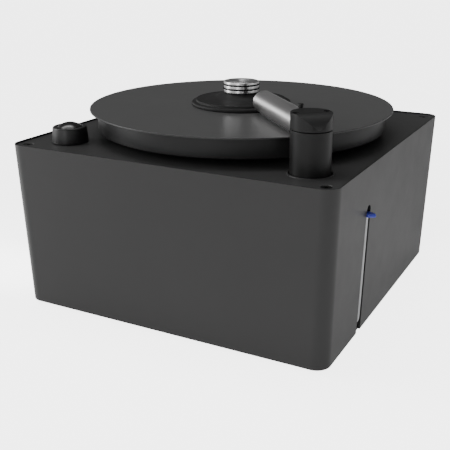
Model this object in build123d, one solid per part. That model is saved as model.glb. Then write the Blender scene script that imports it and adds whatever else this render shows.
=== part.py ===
from build123d import *
import os
from math import atan2, degrees, radians, sin, cos, pi, sqrt, tan, acos, asin

# ---------------------------------------------------------------------------
# Record cleaning machine: a square, slightly tapering sheet-metal case with a
# driven 300 mm platter on top, a swivelling suction arm, a screw clamp, one
# rotary control knob and a drain hose kept in a slot of the right wall.
# Millimetres, +Z up.  Origin: platter axis, on the plane the feet stand on.
# -Y is the front, +X the right-hand side.
# ---------------------------------------------------------------------------

# driving dimensions -------------------------------------------------------
CASE_W = 321.0          # outside width at the top edge (X)
CASE_D = 322.0          # outside depth at the top edge (Y)
CASE_H = 156.0          # height of the case wall
CASE_INSET = 7.1        # each wall leans in this much from top to bottom edge
CASE_R = 13.0           # rounded upright corners
WALL = 1.5              # sheet thickness
FOOT_H = 4.0            # lower edge of the case above the table
PLATE_RECESS = 1.5      # top plate sits this far below the top edge
PLATE_T = 3.0
SCREW_XY = 148.0        # corner screws of the top plate

PLATTER_R = 142.5
PLATTER_Z0 = 164.5
DISC_R = 150.0
DISC_T = 1.5
DISC_Z = 185.0          # record face of the platter's top disc
SPINDLE_R = 3.6

POST_X, POST_Y = 122.5, -118.0
POST_R = 17.2
POST_SPLIT_Z = 195.5
POST_TOP_Z = 209.4
LIP_W, LIP_H = 1.6, 0.5 # lip round the post's hole
TUBE_R = 10.7
TUBE_Z = 196.0
TUBE_END = 119.7        # far end of the tube from the post axis
ARM_TRAVEL = 3.0        # the arm can be raised this far off the disc
ARM_ANG = 133.8         # heading of the tube as drawn; 136.1 would point at the platter axis

KNOB_X, KNOB_Y = -120.0, -121.5
KNOB_R0, KNOB_R1 = 17.3, 15.9
KNOB_Z0, KNOB_Z1 = 159.0, 173.7
DOME_H = 4.5            # height of the knob's domed insert

CLAMP_R = 49.6
CKNOB_R = 17.5
CKNOB_Z0, CKNOB_Z1 = 197.5, 208.5

SLOT_Y = -71.6
SLOT_W = 10.3
SLOT_TOP = 123.3
CHAN_D = 10.2           # depth of the hose channel behind the outer face
HOSE_R = 3.0

GEAR_M = 0.7            # gear module
Z_OUT, Z_LAY_P, Z_LAY_W, Z_MOT = 72, 18, 54, 18

CASE_Z0 = FOOT_H
CASE_Z1 = FOOT_H + CASE_H
PLATE_Z1 = CASE_Z1 - PLATE_RECESS
PLATE_Z0 = PLATE_Z1 - PLATE_T
TRAY_Z0, TRAY_Z1, TRAY_FLANGE = 4.4, 6.4, 13.0
LEAN = degrees(atan2(CASE_INSET, CASE_H))

parts = {}


# helpers ------------------------------------------------------------------
def cyl(x, y, z0, z1, r):
    return Pos(x, y, (z0 + z1) / 2) * Cylinder(r, z1 - z0)


def cone(x, y, z0, z1, r0, r1):
    return Pos(x, y, (z0 + z1) / 2) * Cone(r0, r1, z1 - z0)


def box(x0, x1, y0, y1, z0, z1):
    return Pos((x0 + x1) / 2, (y0 + y1) / 2, (z0 + z1) / 2) * Box(x1 - x0, y1 - y0, z1 - z0)


def hexa(x, y, z0, z1, af):
    return extrude(Pos(x, y, z0) * RegularPolygon(af / 2, 6, major_radius=False), amount=z1 - z0)


def inset(z):
    return CASE_INSET * (CASE_Z1 - z) / CASE_H


def frust(off, z0, z1):
    """The case's outline, moved inwards by off, between two heights."""
    w = CASE_W - 2 * inset(z0) - 2 * off
    d = CASE_D - 2 * inset(z0) - 2 * off
    b = extrude(Pos(0, 0, z0) * Rectangle(w, d), amount=z1 - z0, taper=-LEAN)
    ed = [e for e in b.edges() if abs((e @ 1).Z - (e @ 0).Z) > 0.6 * (z1 - z0)]
    return fillet(ed, CASE_R - off)


def revolved(pts, x=0, y=0):
    """Solid of revolution about the upright through x, y from (r, z) points."""
    f = make_face(Polyline(*[(r, 0, z) for r, z in pts], close=True))
    return Pos(x, y, 0) * revolve(f, Axis.Z, 360)


def group(items):
    return Compound(children=[s for it in items for s in it.solids()])


def one(shape):
    s = shape.solids()
    return s[0] if len(s) == 1 else Compound(children=list(s))


def gear_face(m, n, phase, thin=0.05, flank=4):
    """Involute spur gear outline, one tooth centred on angle phase (degrees)."""
    rp, ra, rf = m * n / 2, m * n / 2 + m, m * n / 2 - 1.25 * m
    rb = rp * cos(radians(20))
    inv = lambda a: tan(a) - a
    half = (pi * m / 2 - 2 * thin) / (2 * rp)      # half tooth angle on the pitch circle
    pts = []
    r0 = max(rb, rf)
    rs = [r0 + (ra - r0) * i / (flank - 1) for i in range(flank)]
    side = []
    for r in rs:
        a = acos(min(1.0, rb / r))
        side.append((r, half + inv(radians(20)) - inv(a)))
    if rf < rb:
        side = [(rf, side[0][1] + 0.0)] + side
    for k in range(n):
        c = radians(phase) + 2 * pi * k / n
        for r, t in side:
            pts.append((r * cos(c - t), r * sin(c - t)))
        for r, t in reversed(side):
            pts.append((r * cos(c + t), r * sin(c + t)))
    return make_face(Polyline(*pts, close=True))


def gear(m, n, x, y, z0, z1, phase):
    return extrude(Pos(x, y, z0) * gear_face(m, n, phase), amount=z1 - z0)


def csk_screw(x, y, z_top, head_r, head_h, shank_r, length, af, depth):
    s = cone(x, y, z_top - head_h, z_top, shank_r, head_r)
    s += cyl(x, y, z_top - length, z_top - head_h, shank_r)
    return s - hexa(x, y, z_top - depth, z_top + 1, af)


def wall_x(z):
    """Outer face of the right-hand wall at height z."""
    return CASE_W / 2 - inset(z)


def wall_y(z):
    return CASE_D / 2 - inset(z)


def on_rear(shape, x, z):
    """Place a piece drawn with its mounting face on y=0, outward +Y, on the rear wall."""
    return Pos(x, wall_y(z), z) * Rot(-LEAN, 0, 0) * shape


# --- case -----------------------------------------------------------------
shell = frust(0, CASE_Z0, CASE_Z1) - frust(WALL, CASE_Z0 - 0.0001, CASE_Z1 + 0.0001)
slot_c = SLOT_TOP - SLOT_W / 2
slot_cut = box(140, 175, SLOT_Y - SLOT_W / 2, SLOT_Y + SLOT_W / 2, 0, slot_c)
slot_cut += Pos(157, SLOT_Y, slot_c) * Rot(0, 90, 0) * Cylinder(SLOT_W / 2, 34)
shell -= slot_cut
INLET_X, INLET_Z = -96.0, 48.0
GRILLE_X, GRILLE_Z = 78.0, 62.0
shell -= on_rear(box(-14.2, 14.2, -8, 8, -10.4, 10.4), INLET_X, INLET_Z)
shell -= on_rear(box(-31, 31, -8, 8, -17, 17), GRILLE_X, GRILLE_Z)
parts["case_shell"] = one(shell)

# --- top plate with its screws and corner blocks ---------------------------
corners = [(sx, sy) for sx in (-1, 1) for sy in (-1, 1)]
plate = frust(WALL + 0.15, PLATE_Z0, PLATE_Z1)
# low rolled lip round the arm post's hole
plate += revolved([(POST_R + 0.5, PLATE_Z1 - 1), (POST_R + LIP_W + 1.0, PLATE_Z1 - 1), (POST_R + LIP_W + 1.0, PLATE_Z1 + LIP_H - 0.2),
                   (POST_R + LIP_W + 0.75, PLATE_Z1 + LIP_H), (POST_R + 0.5, PLATE_Z1 + LIP_H)], POST_X, POST_Y)
plate -= cyl(POST_X, POST_Y, PLATE_Z0 - 1, PLATE_Z1 + 1, POST_R + 1.0)
plate -= cyl(0, 0, PLATE_Z0 - 1, PLATE_Z1 + 1, 12.1)
plate -= cyl(KNOB_X, KNOB_Y, PLATE_Z0 - 1, PLATE_Z1 + 1, 4.6)
for sx, sy in corners:
    x, y = sx * SCREW_XY, sy * SCREW_XY
    plate -= cyl(x, y, PLATE_Z0 - 1, PLATE_Z1 + 1, 2.7)
    plate -= cone(x, y, PLATE_Z1 - 2.6, PLATE_Z1 + 0.001, 2.7, 5.1)
GB_SCREWS = [(-70.0, -45.0), (-70.0, 35.0), (34.0, -45.0), (34.0, 35.0)]
for x, y in GB_SCREWS:
    plate -= cyl(x, y, PLATE_Z0 - 1, PLATE_Z1 + 1, 2.2)
    plate -= cone(x, y, PLATE_Z1 - 2.2, PLATE_Z1 + 0.001, 2.2, 4.2)
AH_SCREWS = [(POST_X + 23 * cos(radians(a)), POST_Y + 23 * sin(radians(a))) for a in (90, 210, 330)]
parts["top_plate"] = one(plate)

screws = []
for sx, sy in corners:
    screws.append(csk_screw(sx * SCREW_XY, sy * SCREW_XY, PLATE_Z1 - 0.35, 4.6, 2.3, 2.5, 14, 3.0, 2.0))
parts["top_plate_screws"] = group(screws)

blocks = []
for sx, sy in corners:
    c = box(139.5, 175, 139.5, 175, PLATE_Z0 - 14, PLATE_Z0) & frust(WALL, PLATE_Z0 - 14, PLATE_Z0)
    c -= cyl(SCREW_XY, SCREW_XY, PLATE_Z0 - 12, PLATE_Z0 + 1, 2.55)
    b = box(132, 170, 132, 170, TRAY_FLANGE + 0.2, 26) & frust(WALL, TRAY_FLANGE + 0.2, 26)
    b += box(132, 170, 132, 170, TRAY_Z1, TRAY_FLANGE + 0.2) & frust(WALL + 1.75, TRAY_Z1, TRAY_FLANGE + 0.2)
    b -= cyl(141, 141, TRAY_Z1 - 1, 20, 2.05)
    for s in (c, b):
        if sx < 0:
            s = mirror(s, Plane.YZ)
        if sy < 0:
            s = mirror(s, Plane.XZ)
        blocks.append(s)
parts["corner_blocks"] = group(blocks)

# --- base tray, feet ---------------------------------------------------------
tray = frust(WALL + 0.15, TRAY_Z0, TRAY_FLANGE) - frust(WALL + 1.65, TRAY_Z1, TRAY_FLANGE + 0.01)
for sx, sy in corners:
    tray -= cyl(sx * 141, sy * 141, 0, 10, 2.2)
    tray -= cyl(sx * 112, sy * 112, 0, 10, 2.05)
# notch in the flange where the hose turns inwards
tray -= box(135, 175, SLOT_Y - SLOT_W / 2, SLOT_Y + SLOT_W / 2, TRAY_Z1, 20)
parts["base_tray"] = one(tray)
parts["base_screws"] = group([cyl(sx * 141, sy * 141, 2.2, TRAY_Z0, 3.8) + cyl(sx * 141, sy * 141, TRAY_Z0, 17, 2.0)
                              - hexa(sx * 141, sy * 141, 1, 3.4, 3.0) for sx, sy in corners])
foot = revolved([(2.1, 2.6), (4.6, 2.6), (4.6, 0.0), (12.2, 0.0), (13.0, 0.8), (13.0, TRAY_Z0), (2.1, TRAY_Z0)])
parts["rubber_feet"] = group([Pos(sx * 112, sy * 112, 0) * foot for sx, sy in corners])
parts["foot_screws"] = group([cyl(sx * 112, sy * 112, 0.9, 2.6, 4.0) + cyl(sx * 112, sy * 112, 2.6, TRAY_Z1, 2.0)
                              - hexa(sx * 112, sy * 112, 0, 2.1, 3.0) for sx, sy in corners])

# --- rear: exhaust grille and mains inlet --------------------------------------
gr = box(-36, 36, 0.02, 1.4, -22, 22)
gr = fillet(gr.edges().filter_by(Axis.Y), 4)
for i in range(-6, 7):
    gr -= box(i * 4.6 - 1.4, i * 4.6 + 1.4, -1, 3, -15, 15)
parts["exhaust_grille"] = one(on_rear(gr, GRILLE_X, GRILLE_Z))

inl = box(-14, 14, -24, 0.02, -10.2, 10.2) + box(-17.5, 17.5, 0.02, 2.2, -13.5, 13.5)
inl = fillet(inl.edges().filter_by(Axis.Y).filter_by(lambda e: abs(e.center().Y - 1.11) < 0.2), 3)
cav = box(-12.2, 12.2, -17, 3, -8.2, 8.2)
cav = chamfer(cav.edges().filter_by(Axis.Y).filter_by(lambda e: e.center().Z > 0), 3.5)
inl -= cav
PIN_XZ = [(-7.0, -1.5), (7.0, -1.5), (0.0, 2.6)]
for px, pz in PIN_XZ:
    inl -= box(px - 1.05, px + 1.05, -25, -16, pz - 2.05, pz + 2.05)
parts["mains_inlet"] = one(on_rear(inl, INLET_X, INLET_Z))
parts["inlet_pins"] = group([on_rear(box(px - 1, px + 1, -30, -3.0, pz - 2, pz + 2), INLET_X, INLET_Z) for px, pz in PIN_XZ])

# --- waste tank ---------------------------------------------------------------
TX0, TX1, TY0, TY1, TZ0, TZ1 = 26.0, 130.0, -130.0, -30.0, TRAY_Z1 + 0.05, 80.0
HOSE_Z = 10.5
tank = box(TX0, TX1, TY0, TY1, TZ0, TZ1)
tank = fillet(tank.edges().filter_by(Axis.Z), 8)
tin = box(TX0 + 2.5, TX1 - 2.5, TY0 + 2.5, TY1 - 2.5, TZ0 + 2.5, TZ1 + 1)
tin = fillet(tin.edges().filter_by(Axis.Z), 5.5)
tank -= tin
tank += Pos(TX1 + 6.5, SLOT_Y, HOSE_Z) * Rot(0, 90, 0) * Cylinder(2.0, 13.4)
tank -= Pos(TX1 + 4, SLOT_Y, HOSE_Z) * Rot(0, 90, 0) * Cylinder(1.3, 22)
parts["waste_tank"] = one(tank)
lid = box(TX0, TX1, TY0, TY1, TZ1 + 0.05, TZ1 + 3)
lid = fillet(lid.edges().filter_by(Axis.Z), 8)
DUCT_X, DUCT_Y0, DUCT_Y1, DUCT_Z = 80.0, -50.0, 78.0, 127.0
SUC_X, SUC_Y = POST_X - 3.5, POST_Y + 0.0
lid += cyl(SUC_X, SUC_Y, TZ1 + 3, 92, 6.0) + cyl(DUCT_X, DUCT_Y0, TZ1 + 3, 96, 10.0)
lid -= cyl(SUC_X, SUC_Y, TZ1 - 1, 93, 4.6)
lid -= cyl(DUCT_X, DUCT_Y0, TZ1 - 1, 97, 8.4)
parts["tank_lid"] = one(lid)

# --- drain hose in its slot ------------------------------------------------------
HOSE_TOP = 112.8
hx = lambda z: wall_x(z) - HOSE_R - 0.05
path = FilletPolyline((hx(HOSE_TOP), SLOT_Y, HOSE_TOP), (hx(HOSE_Z), SLOT_Y, HOSE_Z), (TX1 + 1.0, SLOT_Y, HOSE_Z), radius=8.0)
pl = Plane(origin=path @ 0, z_dir=path % 0)
hose = sweep(pl * Circle(HOSE_R), path=path)
bore = sweep(pl * Circle(2.05), path=path)
parts["drain_hose"] = one(hose - bore)
chan = frust(WALL, 34, 126) - frust(CHAN_D + 1.5, 33.9, 126.1)
chan &= box(120, 175, SLOT_Y - SLOT_W / 2 - 1.5, SLOT_Y + SLOT_W / 2 + 1.5, 34, 126)
chan -= (frust(-5, 33, 127) - frust(CHAN_D, 32.9, 127.1)) & box(120, 175, SLOT_Y - SLOT_W / 2, SLOT_Y + SLOT_W / 2, 33, 124.3)
for z in (50, 96):
    # clips that hold the hose near the outer face
    clip = (frust(1.6 + HOSE_R, z, z + 7) - frust(CHAN_D + 0.5, z - 0.1, z + 7.1)) & box(120, 175, SLOT_Y - SLOT_W / 2 - 0.5, SLOT_Y + SLOT_W / 2 + 0.5, z, z + 7)
    zc = z + 3.5
    groove = Pos(hx(zc), SLOT_Y, zc) * Rot(0, LEAN, 0) * Cylinder(HOSE_R + 0.06, 20)
    chan += clip - groove
parts["hose_channel"] = one(chan)

# plug: oval head with a stem in the hose end; its axis follows the hose
plug_z0 = 113.0
ph = extrude(Pos(157.2, SLOT_Y, plug_z0) * Ellipse(8.3, 4.6), amount=3.4)
ph = fillet(ph.edges(), 1.2)
st = Pos(hx(HOSE_TOP), SLOT_Y, HOSE_TOP) * Rot(0, LEAN, 0) * cyl(0, 0, -3.7, 0.5, 1.85)
parts["drain_plug"] = one(ph + st)

# --- suction hose and air duct --------------------------------------------------
parts["suction_hose"] = one(cyl(SUC_X, SUC_Y, 84.5, 107, 8.0) - cyl(SUC_X, SUC_Y, 80, 110, 6.05))
dp = FilletPolyline((DUCT_X, DUCT_Y0, 85.0), (DUCT_X, DUCT_Y0, DUCT_Z), (DUCT_X, DUCT_Y1, DUCT_Z), (DUCT_X, DUCT_Y1, 105.0), radius=16.0)
dpl = Plane(origin=dp @ 0, z_dir=dp % 0)
parts["vacuum_duct"] = one(sweep(dpl * Circle(12.0), path=dp) - sweep(dpl * Circle(10.05), path=dp))

# --- vacuum unit ---------------------------------------------------------------
VX, VY = DUCT_X, DUCT_Y1
parts["vacuum_mount_ring"] = one(cyl(VX, VY, TRAY_Z1 + 0.05, 14, 47) - cyl(VX, VY, 0, 20, 38))
mh = cyl(VX, VY, 14.05, 74, 45) - cyl(VX, VY, 17, 75, 42.5)
mh -= cyl(VX, VY, 13, 18, 4.05)
for k in range(12):
    a = 30 * k
    mh -= Pos(VX, VY, 0) * Rot(0, 0, a) * box(35, 50, -4, 4, 24, 30)
parts["vacuum_motor_housing"] = one(mh)
fh = cyl(VX, VY, 74.05, 102, 61) - cyl(VX, VY, 77, 99.5, 58.5)
fh -= cyl(VX, VY, 70, 80, 4.05)
fh += cyl(VX, VY, 102, 112, 10.0)
fh -= cyl(VX, VY, 98, 113, 8.4)
for k in range(10):
    fh -= Pos(VX, VY, 0) * Rot(0, 0, 36 * k) * box(50, 64, -9, 9, 80, 88)
parts["fan_housing"] = one(fh)
imp = cyl(VX, VY, 79, 81, 55) + cyl(VX, VY, 20, 90, 4.0) + cyl(VX, VY, 79, 92, 9) + cyl(VX, VY, 28, 62, 24)
for k in range(9):
    imp += Pos(VX, VY, 0) * Rot(0, 0, 40 * k) * (Pos(30, 0, 87) * Rot(0, 0, 25) * Box(44, 1.6, 13))
parts["vacuum_impeller"] = one(imp & cyl(VX, VY, 14.5, 99, 55.5))

# --- gearbox and motor ---------------------------------------------------------
D_OUT = GEAR_M * (Z_OUT + Z_LAY_P) / 2
D_LAY = GEAR_M * (Z_LAY_W + Z_MOT) / 2
LX, LY = -sqrt(D_OUT ** 2 - 9.0 ** 2), -9.0
MX, MY = LX - D_LAY, LY
GX0, GX1, GY0, GY1, GZ0, GZ1 = -76.0, 40.0, -51.0, 41.0, 122.0, 152.0
gb = box(GX0, GX1, GY0, GY1, GZ0, GZ1) - box(GX0 + 3, GX1 - 3, GY0 + 12, GY1 - 12, GZ0 + 3, GZ1 + 1)
gb = fillet(gb.edges().filter_by(Axis.Z).filter_by(lambda e: abs(e.center().X) > 30 and (abs(e.center().X - GX0) < 0.1 or abs(e.center().X - GX1) < 0.1)), 6)
gb -= cyl(0, 0, GZ0 - 1, GZ0 + 4, 6.05)
gb -= cyl(LX, LY, GZ0 + 1, GZ0 + 4, 2.55)
gb -= cyl(MX, MY, GZ0 - 1, GZ0 + 4, 6.0)
for x, y in GB_SCREWS:
    gb -= cyl(x, y, GZ0 + 8, GZ1 + 1, 2.05)
parts["gearbox_housing"] = one(gb)
gc = box(GX0, GX1, GY0, GY1, GZ1 + 0.05, PLATE_Z0 - 0.05)
gc = fillet(gc.edges().filter_by(Axis.Z), 6)
gc -= cyl(0, 0, GZ1 - 1, PLATE_Z0 + 1, 12.2)
gc -= cyl(LX, LY, GZ1 - 1, GZ1 + 2.4, 2.55)
for x, y in GB_SCREWS:
    gc -= cyl(x, y, GZ1 - 1, PLATE_Z0 + 1, 2.2)
parts["gearbox_cover"] = one(gc)
parts["gearbox_screws"] = group([csk_screw(x, y, PLATE_Z1 - 0.3, 3.8, 2.0, 2.0, 24, 2.5, 1.6) for x, y in GB_SCREWS])
gm = cyl(MX, MY, 74, GZ0 - 0.05, 18.5) + cyl(MX, MY, 68, 74, 6) + cyl(MX, MY, GZ0 - 0.05, GZ0 + 2.5, 5.9)
gm -= cyl(MX, MY, 80, GZ0 + 4, 2.05)
parts["gear_motor"] = one(gm)

a_ol = degrees(atan2(LY, LX))                    # from the platter axis to the layshaft
a_lm = 180.0                                     # from the layshaft to the motor
og = gear(GEAR_M, Z_OUT, 0, 0, 138, 146, a_ol) + cyl(0, 0, 134, 138, 11) - cyl(0, 0, 130, 150, 6.02)
parts["output_gear"] = one(og)
lg = gear(GEAR_M, Z_LAY_P, LX, LY, 133, 148, a_ol + 180 + 180 / Z_LAY_P)
lg += gear(GEAR_M, Z_LAY_W, LX, LY, 127, 133, a_lm)
lg += cyl(LX, LY, GZ0 + 1.2, GZ1 + 2.2, 2.5)
parts["layshaft_gear"] = one(lg)
mp = gear(GEAR_M, Z_MOT, MX, MY, 126.5, 134, 180 / Z_MOT) + cyl(MX, MY, 82, 126.5, 2.0)
parts["motor_pinion"] = one(mp)

# --- platter and its drive ------------------------------------------------------
pb = cyl(0, 0, PLATE_Z0 - 5.5, PLATE_Z1, 12.0) + cyl(0, 0, PLATE_Z1 + 0.02, PLATE_Z1 + 1.9, 18.0) + cyl(0, 0, PLATE_Z1 - 0.5, PLATE_Z1 + 0.5, 12.0)
pb -= cyl(0, 0, 140, 170, 6.05)
parts["platter_bearing"] = one(pb)
sh = cyl(0, 0, GZ0 - 2, 183.45, 6.0) + cyl(0, 0, 183.45, 200.0, SPINDLE_R)
sh = chamfer(sh.edges().sort_by(Axis.Z)[-1], 0.9)
parts["drive_shaft"] = one(sh)
hub = cyl(0, 0, 161.0, PLATTER_Z0 - 0.02, 34) - cyl(0, 0, 150, 180, 6.02)
HUB_SCREWS = [(26 * cos(radians(a)), 26 * sin(radians(a))) for a in (30, 150, 270)]
for x, y in HUB_SCREWS:
    hub -= cyl(x, y, 160, 170, 2.1)
    hub -= cone(x, y, 160.999, 163.2, 4.2, 2.1)
parts["platter_hub"] = one(hub)
pt = revolved([(6.05, PLATTER_Z0), (38, PLATTER_Z0), (38, 177.5), (136, 177.5), (136, PLATTER_Z0), (141.3, PLATTER_Z0),
               (142.1, PLATTER_Z0 + 0.4), (PLATTER_R, PLATTER_Z0 + 1.2), (PLATTER_R, DISC_Z - DISC_T - 0.02), (6.05, DISC_Z - DISC_T - 0.02)])
for x, y in HUB_SCREWS:
    pt -= cyl(x, y, 160, 175, 2.05)
parts["platter"] = one(pt)
parts["hub_screws"] = group([cone(x, y, 161.25, 163.2, 3.9, 2.0) + cyl(x, y, 163.2, 174, 2.0) - hexa(x, y, 160, 162.6, 2.5) for x, y in HUB_SCREWS])
dd = revolved([(SPINDLE_R + 0.03, DISC_Z - DISC_T), (DISC_R - 0.35, DISC_Z - DISC_T), (DISC_R, DISC_Z - DISC_T + 0.35),
               (DISC_R, DISC_Z - 0.35), (DISC_R - 0.35, DISC_Z), (SPINDLE_R + 0.03, DISC_Z)])
parts["platter_top_disc"] = one(dd)

# --- clamp ----------------------------------------------------------------------
Z = DISC_Z
prof = [(6.08, Z + 9.2), (9.0, Z + 9.2), (9.0, Z + 1.0), (40.0, Z + 1.0), (40.0, Z + 0.05), (48.9, Z + 0.05), (49.4, Z + 0.4), (CLAMP_R, Z + 0.95), (49.55, Z + 1.6), (49.2, Z + 2.3), (48.4, Z + 3.0),
        (47.2, Z + 3.5), (46.0, Z + 3.8), (45.4, Z + 4.1), (45.2, Z + 4.6), (45.1, Z + 5.2), (44.8, Z + 5.6), (44.2, Z + 5.85), (43.2, Z + 5.8), (38.0, Z + 6.0), (30.0, Z + 7.1), (22.0, Z + 9.2), (16.2, Z + 12.2), (13.0, Z + 12.45), (6.08, Z + 12.45)]
parts["clamp_base"] = one(revolved(prof))
parts["clamp_pad"] = one(cyl(0, 0, Z + 0.05, Z + 0.98, 39.9) - cyl(0, 0, Z - 1, Z + 2, 12))
kn = revolved([(3.75, Z + 6.6), (6.0, Z + 6.6), (6.0, Z + 7.95), (5.0, Z + 7.95), (5.0, Z + 9.05), (6.0, Z + 9.05), (6.0, CKNOB_Z0), (16.3, CKNOB_Z0), (17.1, CKNOB_Z0 + 0.4), (CKNOB_R, CKNOB_Z0 + 1.2), (CKNOB_R, CKNOB_Z1 - 1.0), (17.2, CKNOB_Z1 - 0.3),
               (16.5, CKNOB_Z1), (8.2, CKNOB_Z1), (4.0, CKNOB_Z1 - 1.3), (0.0, CKNOB_Z1 - 1.7), (0.0, 203.2), (3.75, 203.2)])
for zc in (201.3, 205.4):
    kn -= revolved([(CKNOB_R - 0.6, zc - 0.62), (CKNOB_R + 1, zc - 0.62), (CKNOB_R + 1, zc + 0.62), (CKNOB_R - 0.6, zc + 0.62)])
parts["clamp_knob"] = one(kn)
parts["clamp_ring"] = one(cyl(0, 0, Z + 8.0, Z + 9.0, 8.2) - cyl(0, 0, Z + 7, Z + 10, 5.03) - box(0, 10, -2.0, 2.0, Z + 7, Z + 10))
parts["clamp_orings"] = group([Pos(0, 0, zc) * Torus(CKNOB_R - 0.6 + 0.62, 0.6) for zc in (201.3, 205.4)])

# --- control knob and rotary switch -------------------------------------------------
rk = revolved([(3.03, 164), (9.5, 164), (9.5, KNOB_Z0), (16.9, KNOB_Z0), (KNOB_R0, KNOB_Z0 + 0.5), (KNOB_R1 + 0.05, KNOB_Z1 - 1.4), (KNOB_R1 - 0.4, KNOB_Z1 - 0.5),
               (KNOB_R1 - 1.4, KNOB_Z1), (12.2, KNOB_Z1), (11.9, KNOB_Z1 - 0.3), (11.9, KNOB_Z1 - 2.2), (3.03, KNOB_Z1 - 2.2)], KNOB_X, KNOB_Y)
parts["control_knob"] = one(rk)
# polished insert with a domed top that stands above the knob's rim
dome_r, dome_z = 11.5, KNOB_Z1 - 0.45
dome_s = (dome_r ** 2 + DOME_H ** 2) / (2 * DOME_H)
a = atan2(dome_r, dome_s - DOME_H) / 2
f = make_face(Wire([Line((0, 0, KNOB_Z1 - 2.15), (11.85, 0, KNOB_Z1 - 2.15)), Line((11.85, 0, KNOB_Z1 - 2.15), (11.85, 0, KNOB_Z1 - 0.8)),
                    Line((11.85, 0, KNOB_Z1 - 0.8), (dome_r, 0, dome_z)),
                    ThreePointArc((dome_r, 0, dome_z), (dome_s * sin(a), 0, dome_z + DOME_H - dome_s * (1 - cos(a))), (0, 0, dome_z + DOME_H)),
                    Line((0, 0, dome_z + DOME_H), (0, 0, KNOB_Z1 - 2.15))]))
parts["knob_insert"] = one(Pos(KNOB_X, KNOB_Y, 0) * revolve(f, Axis.Z, 360))
sw = box(KNOB_X - 15, KNOB_X + 15, KNOB_Y - 15, KNOB_Y + 15, 134, PLATE_Z0 - 0.05)
sw = fillet(sw.edges().filter_by(Axis.Z), 3)
sw += cyl(KNOB_X, KNOB_Y, PLATE_Z0 - 0.05, 162.5, 4.5)
sw -= cyl(KNOB_X, KNOB_Y, 138, 165, 3.05)
for i in range(4):
    sw += box(KNOB_X - 11 + i * 7, KNOB_X - 9.4 + i * 7, KNOB_Y - 3, KNOB_Y + 3, 127, 134)
parts["rotary_switch_body"] = one(sw)
parts["switch_nut"] = one(hexa(KNOB_X, KNOB_Y, PLATE_Z1 + 0.02, PLATE_Z1 + 2.3, 13) - cyl(KNOB_X, KNOB_Y, 150, 170, 4.55))
parts["switch_shaft"] = one(cyl(KNOB_X, KNOB_Y, 138.2, KNOB_Z1 - 2.4, 3.0))

# --- control board ----------------------------------------------------------------
BX0, BX1, BY0, BY1 = -130.0, -44.0, 48.0, 128.0
bd = box(BX0, BX1, BY0, BY1, 14, 15.6)
BH = [(BX0 + 5, BY0 + 5), (BX1 - 5, BY0 + 5), (BX0 + 5, BY1 - 5), (BX1 - 5, BY1 - 5)]
for x, y in BH:
    bd -= cyl(x, y, 10, 20, 1.6)
parts["control_board"] = one(bd)
parts["board_standoffs"] = group([cyl(x, y, TRAY_Z1 + 0.02, 13.98, 3.2) + cyl(x, y, 13.98, 17.5, 1.5) for x, y in BH])
bp = [box(-118, -82, 88, 118, 15.62, 44), box(-126, -110.5, 58, 74, 15.62, 31), box(-104, -88.5, 58, 74, 15.62, 31),
      cyl(-68, 68, 15.62, 40, 9), cyl(-62, 94, 15.62, 36, 7), box(-76, -56, 108, 118, 15.62, 26)]
parts["board_parts"] = group(bp)

# --- arm bearing under the plate ------------------------------------------------------
ah = cyl(POST_X, POST_Y, 108, PLATE_Z0 - 0.05, 21.5)
ah += cyl(POST_X, POST_Y, PLATE_Z0 - 4, PLATE_Z0 - 0.05, 26.5)
ah &= frust(WALL + 1.0, 100, PLATE_Z0)
ah -= cyl(POST_X, POST_Y, 142, PLATE_Z0 + 1, 18.4)
ah -= cyl(POST_X, POST_Y, 112, 143, 18.0)
ah += cyl(SUC_X, SUC_Y, 97, 108, 6.0)
ah -= cyl(SUC_X, SUC_Y, 90, 113, 4.6)
parts["arm_bearing_housing"] = one(ah)
bush_z0, bush_z1 = 127.5, 142.0
parts["arm_bearing_bush"] = one(cyl(POST_X, POST_Y, bush_z0, bush_z1, 17.95) - cyl(POST_X, POST_Y, 100, 150, 16.0))
# sliding sleeve; its collar meets the bush when the arm is fully raised
sl = cyl(POST_X, POST_Y, 122.0, 149.8, 15.94) + cyl(POST_X, POST_Y, 122.0, bush_z0 - ARM_TRAVEL - 0.05, 17.4)
sl -= cyl(POST_X, POST_Y, 110, 160, 10.05)
parts["arm_lift_sleeve"] = one(sl)
coil_h = 9.6
hel = Helix(pitch=coil_h / 3.0 * 0.82, height=coil_h * 0.82, radius=13.6)
wp = Plane(origin=hel @ 0, z_dir=hel % 0)
spring = sweep(wp * Circle(0.75), path=hel, is_frenet=True)
zb = 112.0 + 0.9
parts["arm_lift_spring"] = one(Pos(POST_X, POST_Y, zb) * spring)


# --- arm (drawn with the tube along +X from the post axis, then turned) -----------------
def arm_place(s):
    return Pos(POST_X, POST_Y, 0) * Rot(0, 0, ARM_ANG) * s


def xcyl(x0, x1, z, r, y=0.0):
    return Pos((x0 + x1) / 2, y, z) * Rot(0, 90, 0) * Cylinder(r, x1 - x0)


post = cyl(0, 0, 150.0, POST_SPLIT_Z - 0.25, POST_R)
post = chamfer(post.edges().sort_by(Axis.Z)[-1], 0.35)
post += cyl(0, 0, 118.0, 150.0, 10.0)
post -= cyl(0, 0, 110, 200, 6.6)
post -= xcyl(-1, 30, TUBE_Z, 8.0)
SCREW_Y = 13.4
for s in (-1, 1):
    post -= cyl(0, s * SCREW_Y, 184, 200, 1.55)
parts["arm_post"] = one(arm_place(post))
cap = cyl(0, 0, POST_SPLIT_Z + 0.25, POST_TOP_Z, POST_R)
cap = chamfer(cap.edges().sort_by(Axis.Z)[0], 0.35)
cap = fillet(cap.edges().sort_by(Axis.Z)[-1], 0.5)
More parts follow.
